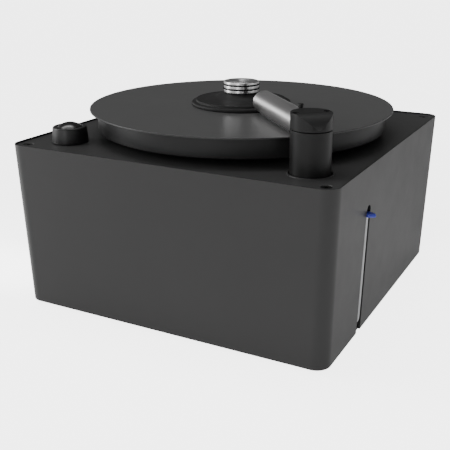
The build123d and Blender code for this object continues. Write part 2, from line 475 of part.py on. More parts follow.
# side away from the tube: a round from the top face down into the wall
CUT_R, CUT_Z = 13.0, 196.5
a1 = asin((POST_TOP_Z - CUT_Z) / CUT_R)                 # where the round leaves the top face
ux = POST_R - CUT_R + CUT_R * cos(a1)
arc_m = (-(POST_R - CUT_R + CUT_R * cos(a1 / 2)), 0, CUT_Z + CUT_R * sin(a1 / 2))
wf = make_face(Wire([ThreePointArc((-ux, 0, POST_TOP_Z), arc_m, (-POST_R - 0.001, 0, CUT_Z)),
                     Line((-POST_R - 0.001, 0, CUT_Z), (-POST_R - 12, 0, CUT_Z)), Line((-POST_R - 12, 0, CUT_Z), (-POST_R - 12, 0, POST_TOP_Z + 3)),
                     Line((-POST_R - 12, 0, POST_TOP_Z + 3), (-ux, 0, POST_TOP_Z + 3)), Line((-ux, 0, POST_TOP_Z + 3), (-ux, 0, POST_TOP_Z))]))
wedge = extrude(wf, amount=40, both=True, dir=(0, 1, 0))
cap -= wedge
cap -= xcyl(-1, 30, TUBE_Z, 8.0)
for s in (-1, 1):
    cap -= cyl(0, s * SCREW_Y, 190, 215, 1.65)
    cap -= cyl(0, s * SCREW_Y, POST_TOP_Z - 3.0, 215, 2.95)
parts["arm_cap"] = one(arm_place(cap))
parts["arm_cap_screws"] = group([arm_place(cyl(0, s * SCREW_Y, POST_TOP_Z - 2.95, POST_TOP_Z - 0.5, 2.6) + cyl(0, s * SCREW_Y, 186, POST_TOP_Z - 2.95, 1.5)
                                           - hexa(0, s * SCREW_Y, POST_TOP_Z - 2.2, POST_TOP_Z, 2.5)) for s in (-1, 1)])
spig = xcyl(-0.8, 34, TUBE_Z, 7.95) - xcyl(-2, 36, TUBE_Z, 6.2)
LOCK_X = 24.0
spig -= cyl(LOCK_X, 0, 199, 215, 1.3)
parts["tube_spigot"] = one(arm_place(spig))
tube = xcyl(10, TUBE_END, TUBE_Z, TUBE_R) - xcyl(9, TUBE_END + 1, TUBE_Z, 8.0)
tube -= cyl(0, 0, 180, 220, POST_R + 0.1)
tube -= box(36, TUBE_END - 7, -2.0, 2.0, 182, 192)
tube -= cyl(LOCK_X, 0, 200, 215, 1.45)
tube -= cyl(LOCK_X, 0, TUBE_Z + 10.3, 215, 2.4)
parts["arm_tube"] = one(arm_place(tube))
tp = xcyl(TUBE_END - 4.0, TUBE_END - 0.25, TUBE_Z, 7.95)
parts["arm_tube_plug"] = one(arm_place(tp))
pads = []
for s in (-1, 1):
    p = box(36, TUBE_END - 6, 2.2, 5.4, DISC_Z + 0.07, 190)
    p -= xcyl(30, 120, TUBE_Z, TUBE_R + 0.03)
    if s < 0:
        p = mirror(p, Plane.XZ)
    pads.append(arm_place(p))
parts["arm_pads"] = group(pads)
# lock screw: a rounded head on a narrower neck
ls = cyl(LOCK_X, 0, TUBE_Z + 12.6, TUBE_Z + 16.0, 2.45)
ls = fillet(ls.edges().sort_by(Axis.Z)[-1], 1.2)
ls = fillet(ls.edges().sort_by(Axis.Z)[0], 0.4)
ls += cyl(LOCK_X, 0, TUBE_Z + 10.32, TUBE_Z + 13.0, 1.9)
ls += cyl(LOCK_X, 0, 202.5, TUBE_Z + 10.32, 1.25)
parts["arm_lock_screw"] = one(arm_place(ls))

# --- write ------------------------------------------------------------------------
os.makedirs("parts", exist_ok=True)
for name, shape in parts.items():
    shape.label = name
    export_step(shape, os.path.join("parts", name + ".step"))
print(len(parts), "nodes")
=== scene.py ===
import bpy, bmesh
from math import sin, cos, pi, radians, degrees, atan2, sqrt, tan, hypot
from mathutils import Vector, Matrix


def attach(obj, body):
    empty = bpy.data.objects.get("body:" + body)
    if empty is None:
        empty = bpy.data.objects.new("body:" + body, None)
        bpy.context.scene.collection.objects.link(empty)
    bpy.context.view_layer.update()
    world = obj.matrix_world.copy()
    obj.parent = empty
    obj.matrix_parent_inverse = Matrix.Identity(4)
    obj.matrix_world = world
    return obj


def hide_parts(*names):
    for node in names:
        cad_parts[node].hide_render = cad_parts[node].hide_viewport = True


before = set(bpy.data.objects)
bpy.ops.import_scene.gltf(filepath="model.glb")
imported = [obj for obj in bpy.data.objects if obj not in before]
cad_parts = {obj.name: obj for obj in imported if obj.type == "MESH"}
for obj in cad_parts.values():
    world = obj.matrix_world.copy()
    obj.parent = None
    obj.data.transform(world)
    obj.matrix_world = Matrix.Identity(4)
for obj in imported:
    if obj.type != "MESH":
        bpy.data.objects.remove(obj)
MM = 0.001

# dimensions, in millimetres, the same as the CAD's ------------------------------
CASE_W, CASE_D, CASE_Z0, CASE_Z1, INSET, CASE_R, WALL = 321.0, 322.0, 4.0, 160.0, 7.1, 13.0, 1.5
PLATE_Z0, PLATE_Z1 = 155.5, 158.5
LEAN = atan2(INSET, CASE_Z1 - CASE_Z0)
POST = (122.5, -118.0)
POST_R, SPLIT, POST_TOP = 17.2, 195.5, 209.4
TUBE_Z, TUBE_R, TUBE_END = 196.0, 10.7, 119.7
ARM = radians(133.8)
LOCK_X, CAP_Y = 24.0, 13.4
KNOB = (-120.0, -121.5)
DISC_Z = 185.0
SLOT_Y, SLOT_W, SLOT_TOP = -71.6, 10.3, 123.3


def inset(z):
    return INSET * (CASE_Z1 - z) / (CASE_Z1 - CASE_Z0)


# camera ---------------------------------------------------------------------------
cam_data = bpy.data.cameras.new("camera")
cam = bpy.data.objects.new("camera", cam_data)
bpy.context.scene.collection.objects.link(cam)
cam_data.sensor_width = 36.0
cam_data.lens = 791.6646 / 450.0 * 36.0
cam_data.shift_x = (225.0 - 229.3507) / 450.0
cam_data.shift_y = (140.0 - 225.0) / 450.0
cam.location = (0.3514408, -0.6982808, 0.3354836)
cam.rotation_euler = (radians(90.0 - 13.528), 0.0, radians(27.5896))
cam_data.clip_start, cam_data.clip_end = 0.01, 100.0
bpy.context.scene.camera = cam


# materials ------------------------------------------------------------------------
def surface(name, color, rough, metal=0.0, var=0.08, var_scale=18.0, rough_var=0.04, grain=2600.0, grain_depth=0.000012,
            kind="grain", coat=0.0, coat_rough=0.1, spec=0.5, ior=1.5, aniso=0.0, wave=0.0, transmission=0.0, sheen=0.0, center=(0.0, 0.0), rim_shade=None):
    m = bpy.data.materials.new(name)
    m.use_nodes = True
    nt = m.node_tree
    N, L = nt.nodes, nt.links
    b = N["Principled BSDF"]
    b.inputs["Metallic"].default_value = metal
    b.inputs["IOR"].default_value = ior
    b.inputs["Specular IOR Level"].default_value = spec
    b.inputs["Coat Weight"].default_value = coat
    b.inputs["Coat Roughness"].default_value = coat_rough
    if aniso:
        # turned on a lathe: the grooves run round the vertical, so light scatters across them
        b.inputs["Anisotropic"].default_value = aniso
        b.inputs["Anisotropic Rotation"].default_value = 0.25
        tg = N.new("ShaderNodeTangent")
        tg.direction_type, tg.axis = "RADIAL", "Z"
        L.new(tg.outputs["Tangent"], b.inputs["Tangent"])
    b.inputs["Transmission Weight"].default_value = transmission
    if sheen:
        b.inputs["Sheen Weight"].default_value = sheen
        b.inputs["Sheen Roughness"].default_value = 0.4
    tc = N.new("ShaderNodeTexCoord")
    co = tc.outputs["Object"]

    def node(kind_, **kw):
        n = N.new(kind_)
        for k, v in kw.items():
            setattr(n, k, v)
        return n

    def mapped(scale, loc=(0, 0, 0), rot=(0, 0, 0), src=None):
        mp = node("ShaderNodeMapping")
        mp.inputs["Scale"].default_value = scale
        mp.inputs["Location"].default_value = loc
        mp.inputs["Rotation"].default_value = rot
        L.new(src or co, mp.inputs["Vector"])
        return mp.outputs["Vector"]

    def noise(vec, scale, detail=3.0, rough_=0.55):
        n = node("ShaderNodeTexNoise")
        n.inputs["Scale"].default_value = scale
        n.inputs["Detail"].default_value = detail
        n.inputs["Roughness"].default_value = rough_
        L.new(vec, n.inputs["Vector"])
        return n.outputs["Fac"]

    def remap(v, a, c, lo=0.3, hi=0.7):
        r = node("ShaderNodeMapRange")
        r.inputs["From Min"].default_value, r.inputs["From Max"].default_value = lo, hi
        r.inputs["To Min"].default_value, r.inputs["To Max"].default_value = a, c
        L.new(v, r.inputs["Value"])
        return r.outputs["Result"]

    # colour: broad unevenness plus the fine structure of the surface
    broad = noise(co, var_scale, 4.0)
    if kind == "turned":
        # rings round the vertical through center
        sh = mapped((1, 1, 0), (-center[0] * MM, -center[1] * MM, 0))
        ln = node("ShaderNodeVectorMath", operation="LENGTH")
        L.new(sh, ln.inputs[0])
        cmb = node("ShaderNodeCombineXYZ")
        L.new(ln.outputs["Value"], cmb.inputs["X"])
        # only the distance from the axis, so the rings are perfect circles
        fine_vec = cmb.outputs["Vector"]
        fine = noise(fine_vec, grain, 2.0)
    elif kind == "brushed_arm":
        fine = noise(mapped((0.03, 1, 1), rot=(0, 0, -ARM)), grain, 3.0)
    elif kind == "spun":
        fine = noise(mapped((0.04, 0.04, 1)), grain, 3.0)
    elif kind == "pile":
        vo = node("ShaderNodeTexVoronoi")
        vo.inputs["Scale"].default_value = grain
        L.new(co, vo.inputs["Vector"])
        fine = vo.outputs["Distance"]
    else:
        fine = noise(co, grain, 2.0)
    mix = node("ShaderNodeMix", data_type="RGBA")
    mix.inputs["A"].default_value = (*[c * (1 - var) for c in color], 1)
    mix.inputs["B"].default_value = (*[min(1.0, c * (1 + var)) for c in color], 1)
    add = node("ShaderNodeMath", operation="MULTIPLY_ADD")
    L.new(fine, add.inputs[0])
    add.inputs[1].default_value = 0.45
    L.new(remap(broad, 0.05, 0.55), add.inputs[2])
    L.new(add.outputs["Value"], mix.inputs["Factor"])
    col = mix.outputs["Result"]
    if rim_shade:
        # painted shade: below the given height (the outer rim of a disc) the colour is darker, so that the rim looks
        # unlit
        sx = node("ShaderNodeSeparateXYZ")
        L.new(co, sx.inputs["Vector"])
        below = node("ShaderNodeMath", operation="LESS_THAN")
        L.new(sx.outputs["Z"], below.inputs[0])
        below.inputs[1].default_value = rim_shade[0] * MM
        rm = node("ShaderNodeMix", data_type="RGBA")
        L.new(below.outputs["Value"], rm.inputs["Factor"])
        L.new(col, rm.inputs["A"])
        rm.inputs["B"].default_value = (*rim_shade[1], 1)
        col = rm.outputs["Result"]
    L.new(col, b.inputs["Base Color"])
    L.new(remap(noise(co, var_scale * 2.3, 5.0), max(0.02, rough - rough_var), rough + rough_var), b.inputs["Roughness"])
    bump = node("ShaderNodeBump")
    bump.inputs["Strength"].default_value = 1.0
    bump.inputs["Distance"].default_value = grain_depth
    L.new(fine, bump.inputs["Height"])
    last = bump.outputs["Normal"]
    if wave:
        b2 = node("ShaderNodeBump")
        b2.inputs["Strength"].default_value = 1.0
        b2.inputs["Distance"].default_value = wave
        L.new(noise(co, 14.0, 2.0), b2.inputs["Height"])
        L.new(last, b2.inputs["Normal"])
        last = b2.outputs["Normal"]
    L.new(last, b.inputs["Normal"])
    return m


M = {
    "paint": surface("case_powder_coat", (0.0298, 0.0293, 0.0293), 0.42, spec=0.40, var=0.05, rough_var=0.02, grain=2200, grain_depth=0.000010, wave=0.00002),
    "plate": surface("plate_satin_black", (0.043, 0.043, 0.043), 0.42, var=0.05, rough_var=0.015, grain=2400, grain_depth=0.000009),
    "platter": surface("platter_black_anodised", (0.0175, 0.0175, 0.0178), 0.38, spec=0.26, var=0.10, kind="spun", grain=2500, grain_depth=0.000004),
    # disc: below its top face the rim's colour is painted darker, painted shade
    "disc": surface("disc_turned_satin", (0.086, 0.086, 0.086), 0.32, var=0.05, rough_var=0.010, kind="turned", grain=1400, grain_depth=0.000003, rim_shade=(DISC_Z - 0.12, (0.022, 0.022, 0.022))),
    "anod": surface("black_anodised", (0.0118, 0.0118, 0.0118), 0.38, spec=0.26, var=0.06, rough_var=0.02, grain=3500, grain_depth=0.000004),
    # lighter copy of black_anodised for the cap's round cut: painted light, not a different finish
    "anod_lit_copy": surface("black_anodised_lit_copy", (0.0235, 0.0235, 0.0235), 0.42, spec=0.30, var=0.06, rough_var=0.02, grain=3500, grain_depth=0.000004),
    "anod_turned": surface("black_anodised_turned", (0.0125, 0.0125, 0.0125), 0.58, spec=0.28, var=0.06, rough_var=0.02, kind="turned", grain=2600, grain_depth=0.000003),
    "knob": surface("knob_moulded_black", (0.012, 0.012, 0.0124), 0.40, var=0.08, grain=3000, grain_depth=0.000008),
    "gloss": surface("insert_polished_black", (0.012, 0.012, 0.012), 0.20, var=0.10, kind="turned", grain=1800, grain_depth=0.000001, coat=0.4, coat_rough=0.12, center=KNOB),
    "alu_tube": surface("tube_satin_aluminium", (0.72, 0.71, 0.71), 0.31, metal=1.0, var=0.06, rough_var=0.03, kind="brushed_arm", grain=2600, grain_depth=0.000004),
    "alu_knob": surface("clamp_knob_aluminium", (0.93, 0.93, 0.93), 0.30, metal=1.0, var=0.03, rough_var=0.015, kind="turned", grain=2600, grain_depth=0.0000015, aniso=0.75),
    "rubber": surface("black_rubber", (0.012, 0.012, 0.012), 0.62, var=0.12, grain=1800, grain_depth=0.00002),
    "oring": surface("oring_rubber", (0.006, 0.006, 0.006), 0.55, spec=0.20, var=0.10, grain=2600, grain_depth=0.000006),
    "screw": surface("screw_black_oxide", (0.012, 0.012, 0.012), 0.34, metal=0.6, var=0.15, grain=3000, grain_depth=0.000006),
    "steel": surface("machined_steel", (0.45, 0.45, 0.46), 0.28, metal=1.0, var=0.08, kind="spun", grain=2400, grain_depth=0.000004),
    "plastic": surface("satin_black_plastic", (0.016, 0.016, 0.0165), 0.46, var=0.08, grain=1600, grain_depth=0.000014),
    "hose": surface("hose_translucent", (0.62, 0.63, 0.64), 0.26, var=0.05, grain=900, grain_depth=0.000006, coat=0.3, coat_rough=0.15),
    "blue": surface("plug_blue", (0.052, 0.062, 0.50), 0.28, var=0.12, grain=1500, grain_depth=0.00001, coat=0.25, coat_rough=0.12),
    "tank": surface("tank_polyethylene", (0.66, 0.67, 0.66), 0.45, var=0.05, grain=900, grain_depth=0.00002),
    "brass": surface("brass_machined", (0.62, 0.43, 0.17), 0.26, metal=1.0, var=0.10, kind="spun", grain=2400, grain_depth=0.000004),
    "acetal": surface("gear_acetal", (0.78, 0.77, 0.73), 0.38, var=0.04, grain=1500, grain_depth=0.00001),
    "velvet": surface("pads_velvet", (0.014, 0.014, 0.016), 0.9, var=0.3, kind="pile", grain=2500, grain_depth=0.00008, sheen=0.5, spec=0.2),
    "felt": surface("clamp_felt", (0.05, 0.05, 0.055), 0.92, var=0.3, grain=1200, grain_depth=0.00008, sheen=0.3, spec=0.2),
    "board": surface("board_solder_mask", (0.015, 0.10, 0.035), 0.30, var=0.15, grain=700, grain_depth=0.00001),
    "zinc": surface("zinc_plated", (0.55, 0.55, 0.53), 0.36, metal=1.0, var=0.12, grain=500, grain_depth=0.000006),
    "alu": surface("milled_aluminium", (0.62, 0.62, 0.63), 0.34, metal=1.0, var=0.08, kind="spun", grain=1800, grain_depth=0.000005),
}


# mesh helpers -----------------------------------------------------------------------
def finish_piece(name, bm, mat, body, nodes=(), sharp=32.0, weighted=False):
    bmesh.ops.recalc_face_normals(bm, faces=bm.faces)
    me = bpy.data.meshes.new(name)
    bm.to_mesh(me)
    bm.free()
    for p in me.polygons:
        p.use_smooth = True
    me.set_sharp_from_angle(angle=radians(sharp))
    o = bpy.data.objects.new(name, me)
    bpy.context.scene.collection.objects.link(o)
    me.materials.append(M[mat])
    if weighted:
        wn = o.modifiers.new("normals", "WEIGHTED_NORMAL")
        wn.keep_sharp = True
        wn.weight = 80
    if body:
        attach(o, body)
    if nodes:
        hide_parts(*nodes)
    return o


def fil(pts, n=5, closed=True):
    """Corner-rounded 2-D outline. A point is (a, b) or (a, b, radius)."""
    out = []
    k = len(pts)
    for i, p in enumerate(pts):
        r = p[2] if len(p) > 2 else 0.0
        P = Vector(p[:2])
        if r <= 0 or (not closed and i in (0, k - 1)):
            out.append(tuple(P))
            continue
        A, B = Vector(pts[i - 1][:2]), Vector(pts[(i + 1) % k][:2])
        u, v = (A - P).normalized(), (B - P).normalized()
        ang = u.angle(v)
        t = r / tan(ang / 2)
        t = min(t, 0.49 * (A - P).length, 0.49 * (B - P).length) if True else t
        rr = t * tan(ang / 2)
        c = P + (u + v).normalized() * (rr / sin(ang / 2))
        a0, a1 = P + u * t - c, P + v * t - c
        s0, s1 = atan2(a0.y, a0.x), atan2(a1.y, a1.x)
        d = (s1 - s0 + pi) % (2 * pi) - pi
        for j in range(n + 1):
            s = s0 + d * j / n
            out.append((c.x + rr * cos(s), c.y + rr * sin(s)))
    return out


def lathe_bm(prof, cx=0.0, cy=0.0, seg=128, closed=True, bm=None, axis=None):
    """Surface of revolution from (r, z) points in mm. axis: a 4x4 that places it, or None for upright."""
    bm = bm or bmesh.new()
    rings = []
    T = axis or Matrix.Translation((cx * MM, cy * MM, 0))
    for r, z in prof:
        if r < 1e-6:
            rings.append([bm.verts.new(T @ Vector((0, 0, z * MM)))])
        else:
            rings.append([bm.verts.new(T @ Vector((r * MM * cos(2 * pi * i / seg), r * MM * sin(2 * pi * i / seg), z * MM))) for i in range(seg)])
    m = len(rings)
    for k in range(m if closed else m - 1):
        a, b = rings[k], rings[(k + 1) % m]
        if len(a) == 1 and len(b) == 1:
            continue
        for i in range(seg):
            j = (i + 1) % seg
            if len(a) == 1:
                bm.faces.new((a[0], b[j], b[i]))
            elif len(b) == 1:
                bm.faces.new((a[i], a[j], b[0]))
            else:
                bm.faces.new((a[i], a[j], b[j], b[i]))
    return bm


def loft(bm, loops, close=True):
    """Quads between loops of the same count. close joins the last loop to the first."""
    n = len(loops[0])
    for k in range(len(loops) if close else len(loops) - 1):
        a, b = loops[k], loops[(k + 1) % len(loops)]
        for i in range(n):
            j = (i + 1) % n
            bm.faces.new((a[i], a[j], b[j], b[i]))


def rrect(w, d, r, n=14, support=1.2):
    """Rounded rectangle outline, with points just beside each corner's arc so that the flats shade flat."""
    pts = []
    for cx, cy, a0 in ((w / 2 - r, d / 2 - r, 0), (-w / 2 + r, d / 2 - r, 90), (-w / 2 + r, -d / 2 + r, 180), (w / 2 - r, -d / 2 + r, 270)):
        c0, s0 = cos(radians(a0)), sin(radians(a0))
        c1, s1 = cos(radians(a0 + 90)), sin(radians(a0 + 90))
        pts.append((cx + r * c0 - support * c1, cy + r * s0 - support * s1))
        for k in range(n + 1):
            a = radians(a0 + 90 * k / n)
            pts.append((cx + r * cos(a), cy + r * sin(a)))
        pts.append((cx + r * c1 - support * c0, cy + r * s1 - support * s0))
    return pts


def case_loop(bm, off, z, n=14):
    w, d = CASE_W - 2 * inset(z) - 2 * off, CASE_D - 2 * inset(z) - 2 * off
    return [bm.verts.new((x * MM, y * MM, z * MM)) for x, y in rrect(w, d, max(0.5, CASE_R - off), n)]


def boolean(o, cutters, op="DIFFERENCE"):
    for i, c in enumerate(cutters):
        md = o.modifiers.new(f"cut{i}", "BOOLEAN")
        md.operation, md.object, md.solver = op, c, "EXACT"
    dg = bpy.context.evaluated_depsgraph_get()
    me = bpy.data.meshes.new_from_object(o.evaluated_get(dg), depsgraph=dg)
    old = o.data
    o.modifiers.clear()
    o.data = me
    bpy.data.meshes.remove(old)
    for c in cutters:
        cm = c.data
        bpy.data.objects.remove(c)
        bpy.data.meshes.remove(cm)


def raw(name, bm):
    bmesh.ops.recalc_face_normals(bm, faces=bm.faces)
    me = bpy.data.meshes.new(name)
    bm.to_mesh(me)
    bm.free()
    o = bpy.data.objects.new(name, me)
    bpy.context.scene.collection.objects.link(o)
    return o


def prism(outline, z0, z1, T=None, bm=None):
    """Closed prism of a 2-D outline in mm between two heights, placed by a matrix in metres."""
    bm = bm or bmesh.new()
    T = T or Matrix.Identity(4)
    lo = [bm.verts.new(T @ Vector((x * MM, y * MM, z0 * MM))) for x, y in outline]
    hi = [bm.verts.new(T @ Vector((x * MM, y * MM, z1 * MM))) for x, y in outline]
    loft(bm, [lo, hi], close=False)
    bm.faces.new(list(reversed(lo)))
    bm.faces.new(hi)
    return bm


def circle(r, n=64, cx=0.0, cy=0.0):
    return [(cx + r * cos(2 * pi * i / n), cy + r * sin(2 * pi * i / n)) for i in range(n)]


def socket_screw(bm, T, r_head, head_h, r_shank, length, af, depth, countersunk, seg=48, chamf=0.35, sides=6):
    """Screw with a hexagon socket; its head's top is at z=0 of T and its shank points down."""
    hexr = af / 2 / cos(pi / 6)

    def hexpt(i, shrink=1.0):
        a = 2 * pi * i / seg
        s = (a % (pi / 3)) - pi / 6
        r = af / 2 / cos(s) * shrink
        return (r * cos(a), r * sin(a))
    if countersunk:
        outer = [(r_head - 0.25, 0.0), (r_head, -0.25), (r_shank, -head_h), (r_shank, -length), (0, -length)]
    else:
        outer = [(r_head - chamf, 0.0), (r_head, -chamf), (r_head, -head_h), (r_shank, -head_h), (r_shank, -length), (0, -length)]
    rings = []
    rings.append([bm.verts.new(T @ Vector((hexpt(i, 0.98)[0] * MM, hexpt(i, 0.98)[1] * MM, -depth * MM))) for i in range(seg)])
    rings.append([bm.verts.new(T @ Vector((hexpt(i)[0] * MM, hexpt(i)[1] * MM, -0.12 * MM))) for i in range(seg)])
    rings.append([bm.verts.new(T @ Vector((hexpt(i, 1.08)[0] * MM, hexpt(i, 1.08)[1] * MM, 0))) for i in range(seg)])
    for r, z in outer[:-1]:
        rings.append([bm.verts.new(T @ Vector((r * MM * cos(2 * pi * i / seg), r * MM * sin(2 * pi * i / seg), z * MM))) for i in range(seg)])
    loft(bm, rings, close=False)
    c0 = bm.verts.new(T @ Vector((0, 0, -depth * MM)))
    c1 = bm.verts.new(T @ Vector((0, 0, -length * MM)))
    for i in range(seg):
        j = (i + 1) % seg
        bm.faces.new((c0, rings[0][j], rings[0][i]))
        bm.faces.new((c1, rings[-1][i], rings[-1][j]))


def TR(x, y, z, rz=0.0):
    return Matrix.Translation((x * MM, y * MM, z * MM)) @ Matrix.Rotation(rz, 4, "Z")


# case -----------------------------------------------------------------------------
bm = bmesh.new()
e = 0.32
prof = [(0.0, CASE_Z0 + e), (e * 0.3, CASE_Z0 + e * 0.3), (e, CASE_Z0), (WALL - e, CASE_Z0), (WALL - e * 0.3, CASE_Z0 + e * 0.3), (WALL, CASE_Z0 + e),
        (WALL, CASE_Z1 - e), (WALL - e * 0.3, CASE_Z1 - e * 0.3), (WALL - e, CASE_Z1), (e, CASE_Z1), (e * 0.3, CASE_Z1 - e * 0.3), (0.0, CASE_Z1 - e)]
mid = [(0.0, z) for z in (CASE_Z1 - 3, 120.0, 82.0, 44.0, CASE_Z0 + 3)]
loft(bm, [case_loop(bm, off, z) for off, z in prof + mid])
bmesh.ops.recalc_face_normals(bm, faces=bm.faces)
case = raw("case_shell_piece", bm)
cut = []
c = SLOT_TOP - SLOT_W / 2
out = [(SLOT_Y - SLOT_W / 2, -20.0)] + [(SLOT_Y - SLOT_W / 2 * cos(pi * i / 32), c + SLOT_W / 2 * sin(pi * i / 32)) for i in range(33)] + [(SLOT_Y + SLOT_W / 2, -20.0)]
bm = bmesh.new()
lo = [bm.verts.new((140 * MM, y * MM, z * MM)) for y, z in out]
hi = [bm.verts.new((175 * MM, y * MM, z * MM)) for y, z in out]
loft(bm, [lo, hi], close=False)
bm.faces.new(lo)
bm.faces.new(list(reversed(hi)))
cut.append(raw("slot_cutter", bm))


def rear(x, z):
    """Frame on the rear wall: z outwards, x to the viewer's left when seen from behind, y up."""
    y = CASE_D / 2 - inset(z)
    return Matrix.Translation((x * MM, y * MM, z * MM)) @ Matrix.Rotation(-LEAN, 4, "X") @ Matrix(((-1, 0, 0, 0), (0, 0, 1, 0), (0, 1, 0, 0), (0, 0, 0, 1)))


INLET, GRILLE = (-96.0, 48.0), (78.0, 62.0)
for (px, pz), (w, h) in ((INLET, (28.4, 20.8)), (GRILLE, (62, 34))):
    cut.append(raw("rear_cutter", prism([(-w / 2, -h / 2), (w / 2, -h / 2), (w / 2, h / 2), (-w / 2, h / 2)], -8, 8, rear(px, pz))))
boolean(case, cut)
me = case.data
for p in me.polygons:
    p.use_smooth = True
me.set_sharp_from_angle(angle=radians(30))
me.materials.clear()
me.materials.append(M["paint"])
case.modifiers.new("normals", "WEIGHTED_NORMAL").keep_sharp = True
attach(case, "chassis")
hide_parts("case_shell")

# top plate --------------------------------------------------------------------------
bm = bmesh.new()
off = WALL + 0.15
loops = [case_loop(bm, off + 0.25, PLATE_Z0), case_loop(bm, off, PLATE_Z0 + 0.25), case_loop(bm, off, PLATE_Z1 - 0.25), case_loop(bm, off + 0.25, PLATE_Z1)]
loft(bm, loops, close=False)
bm.faces.new(list(reversed(loops[0])))
bm.faces.new(loops[-1])
plate = raw("top_plate_piece", bm)
LIP_R, LIP_Z = POST_R + 2.6, PLATE_Z1 + 0.5
lip = fil([(POST_R + 0.5, PLATE_Z1 - 1), (LIP_R, PLATE_Z1 - 1), (LIP_R, LIP_Z, 0.3), (POST_R + 0.5, LIP_Z)], 4)
boolean(plate, [raw("lip", lathe_bm(lip, *POST, seg=128))], op="UNION")
cut = []
cut.append(raw("c", lathe_bm([(0, PLATE_Z0 - 1), (POST_R + 1.0, PLATE_Z0 - 1), (POST_R + 1.0, LIP_Z - 0.25), (POST_R + 1.3, LIP_Z + 0.05), (0, LIP_Z + 0.05)], *POST, seg=128, closed=False)))
cut.append(raw("c", lathe_bm([(0, PLATE_Z0 - 1), (12.1, PLATE_Z0 - 1), (12.1, PLATE_Z1 + 1), (0, PLATE_Z1 + 1)], seg=96, closed=False)))
cut.append(raw("c", lathe_bm([(0, PLATE_Z0 - 1), (4.6, PLATE_Z0 - 1), (4.6, PLATE_Z1 + 1), (0, PLATE_Z1 + 1)], *KNOB, seg=64, closed=False)))
for sx in (-1, 1):
    for sy in (-1, 1):
        cut.append(raw("c", lathe_bm([(0, PLATE_Z0 - 1), (2.7, PLATE_Z0 - 1), (2.7, PLATE_Z1 - 2.6), (5.1, PLATE_Z1), (5.55, PLATE_Z1 + 0.5), (0, PLATE_Z1 + 0.5)], sx * 148, sy * 148, seg=64, closed=False)))
GB = [(-70.0, -45.0), (-70.0, 35.0), (34.0, -45.0), (34.0, 35.0)]
for x, y in GB:
    cut.append(raw("c", lathe_bm([(0, PLATE_Z0 - 1), (2.2, PLATE_Z0 - 1), (2.2, PLATE_Z1 - 2.2), (4.2, PLATE_Z1), (4.65, PLATE_Z1 + 0.5), (0, PLATE_Z1 + 0.5)], x, y, seg=48, closed=False)))
boolean(plate, cut)
me = plate.data
for p in me.polygons:
    p.use_smooth = True
me.set_sharp_from_angle(angle=radians(25))
me.materials.clear()
me.materials.append(M["plate"])
plate.modifiers.new("normals", "WEIGHTED_NORMAL").keep_sharp = True
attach(plate, "chassis")
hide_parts("top_plate")

bm = bmesh.new()
for k, (sx, sy) in enumerate(((-1, -1), (1, -1), (-1, 1), (1, 1))):
    socket_screw(bm, TR(sx * 148, sy * 148, PLATE_Z1 - 0.35, 0.3 + 0.7 * k), 4.6, 2.3, 2.5, 14, 3.0, 2.0, True)
finish_piece("top_plate_screws_piece", bm, "screw", "chassis", ("top_plate_screws",))
bm = bmesh.new()
for k, (x, y) in enumerate(GB):
    socket_screw(bm, TR(x, y, PLATE_Z1 - 0.3, 0.5 * k), 3.8, 2.0, 2.0, 24, 2.5, 1.6, True)
finish_piece("gearbox_screws_piece", bm, "screw", "chassis", ("gearbox_screws",))

# platter and disc -----------------------------------------------------------------------
Z0 = 164.5
prof = fil([(6.05, Z0), (38, Z0, 0.5), (38, 177.5, 1.0), (136, 177.5, 1.0), (136, Z0, 0.5), (142.5, Z0, 1.3), (142.5, DISC_Z - 1.52, 0.2), (6.05, DISC_Z - 1.52)], 5)
finish_piece("platter_piece", lathe_bm(prof, seg=360), "platter", "platter", ("platter",), sharp=40)
prof = fil([(3.63, DISC_Z - 1.5), (150, DISC_Z - 1.5, 0.35), (150, DISC_Z, 0.42), (3.63, DISC_Z, 0.15)], 4)
# extra rings keep the large flat face's shading even
prof = [p for p in prof]
i = max(range(len(prof)), key=lambda k: prof[k][0] if prof[k][1] > DISC_Z - 1e-6 else -1)
ring = [(r, DISC_Z) for r in (149.0, 140, 120, 100, 80, 60, 40, 20, 8)]
prof = prof[:i + 1] + ring + prof[i + 1:]
finish_piece("platter_top_disc_piece", lathe_bm(prof, seg=360), "disc", "platter", ("platter_top_disc",), sharp=40)

# spindle and bearing collar stay CAD nodes; see below

# clamp ---------------------------------------------------------------------------------
Z = DISC_Z
prof = fil([(6.08, Z + 9.2), (9.0, Z + 9.2), (9.0, Z + 1.0), (40.0, Z + 1.0), (40.0, Z + 0.05), (49.55, Z + 0.05, 0.9), (49.6, Z + 3.5, 1.9), (45.4, Z + 3.75, 0.8), (45.15, Z + 5.85, 1.0),
            (43.4, Z + 5.65, 2.0), (36.0, Z + 6.1, 9.0), (27.0, Z + 7.4, 9.0), (16.4, Z + 12.1, 2.0), (15.6, Z + 12.45, 0.3), (6.08, Z + 12.45)], 6)
finish_piece("clamp_base_piece", lathe_bm(prof, seg=192), "anod_turned", "clamp", ("clamp_base",), sharp=38)
Z0, Z1 = 197.5, 208.5
def groove(zc):
    return [(17.5, zc - 0.62, 0.08), (16.95, zc - 0.62), (16.95, zc + 0.62), (17.5, zc + 0.62, 0.08)]
prof = fil([(0, 203.2), (3.75, 203.2), (3.75, Z + 6.6), (6.0, Z + 6.6), (6.0, Z0), (17.5, Z0, 0.9)] + groove(201.3) + groove(205.4)
           + [(17.5, Z1, 0.85), (8.5, Z1, 0.3)] + [(8.2 * (1 - i / 12), Z1 - 1.7 * (1 - (1 - i / 12) ** 2) - 0.02) for i in range(13)], 6, closed=False)
finish_piece("clamp_knob_piece", lathe_bm(prof, seg=192, closed=False), "alu_knob", "clamp_knob", ("clamp_knob",), sharp=38)
bm = bmesh.new()
for zc in (201.3, 205.4):
    lathe_bm([(17.5 + 0.8 * cos(2 * pi * k / 20), zc + 0.8 * sin(2 * pi * k / 20)) for k in range(20)], seg=160, bm=bm)
finish_piece("clamp_orings_piece", bm, "oring", "clamp_knob", ("clamp_orings",), sharp=60)

